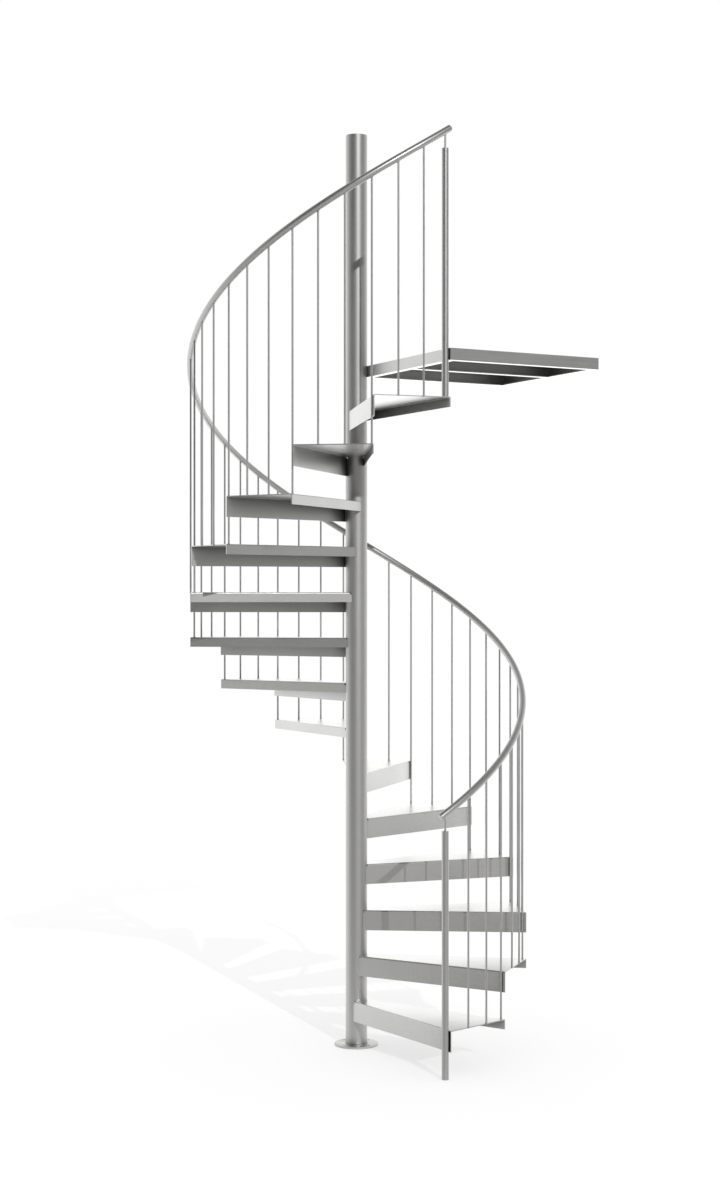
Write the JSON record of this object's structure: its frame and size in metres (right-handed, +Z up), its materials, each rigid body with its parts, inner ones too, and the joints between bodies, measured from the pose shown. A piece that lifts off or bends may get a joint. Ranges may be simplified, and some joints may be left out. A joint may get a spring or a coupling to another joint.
{
  "type": "spiral staircase",
  "caption": "Spiral staircase with folded sheet treads on a central pole, a balustrade of thin rods, a round handrail and a square top landing.",
  "frame": {"origin": "on the floor, at the centre of the floor plate's underside, on the pole's axis", "axes": "+Z up along the pole, -Y towards the side the stair is walked up to, +X to the right from there"},
  "size_m": [1.663, 1.3945, 3.751],
  "materials": {
    "pole_steel": "satin brushed tube",
    "sheet_steel": "brushed sheet",
    "rail_steel": "satin brushed bar"
  },
  "bodies": {
    "root": {"base_plate": "pole_steel", "pole": "pole_steel", "handrail": "rail_steel", "landing": "sheet_steel", "newel_lower": "rail_steel", "newel_upper": "rail_steel", "newel_pin_lower": "rail_steel", "newel_pin_upper": "rail_steel", "tread_01": "sheet_steel", "tread_02": "sheet_steel", "tread_03": "sheet_steel", "tread_04": "sheet_steel", "tread_05": "sheet_steel", "tread_06": "sheet_steel", "tread_07": "sheet_steel", "tread_08": "sheet_steel", "tread_09": "sheet_steel", "tread_10": "sheet_steel", "tread_11": "sheet_steel", "tread_12": "sheet_steel", "tread_13": "sheet_steel", "tread_14": "sheet_steel", "balusters_01": "rail_steel", "balusters_02": "rail_steel", "balusters_03": "rail_steel", "balusters_04": "rail_steel", "balusters_05": "rail_steel", "balusters_06": "rail_steel", "balusters_07": "rail_steel", "balusters_08": "rail_steel", "balusters_09": "rail_steel", "balusters_10": "rail_steel", "balusters_11": "rail_steel", "balusters_12": "rail_steel", "balusters_13": "rail_steel", "balusters_14": "rail_steel"}
  },
  "joints": []
}
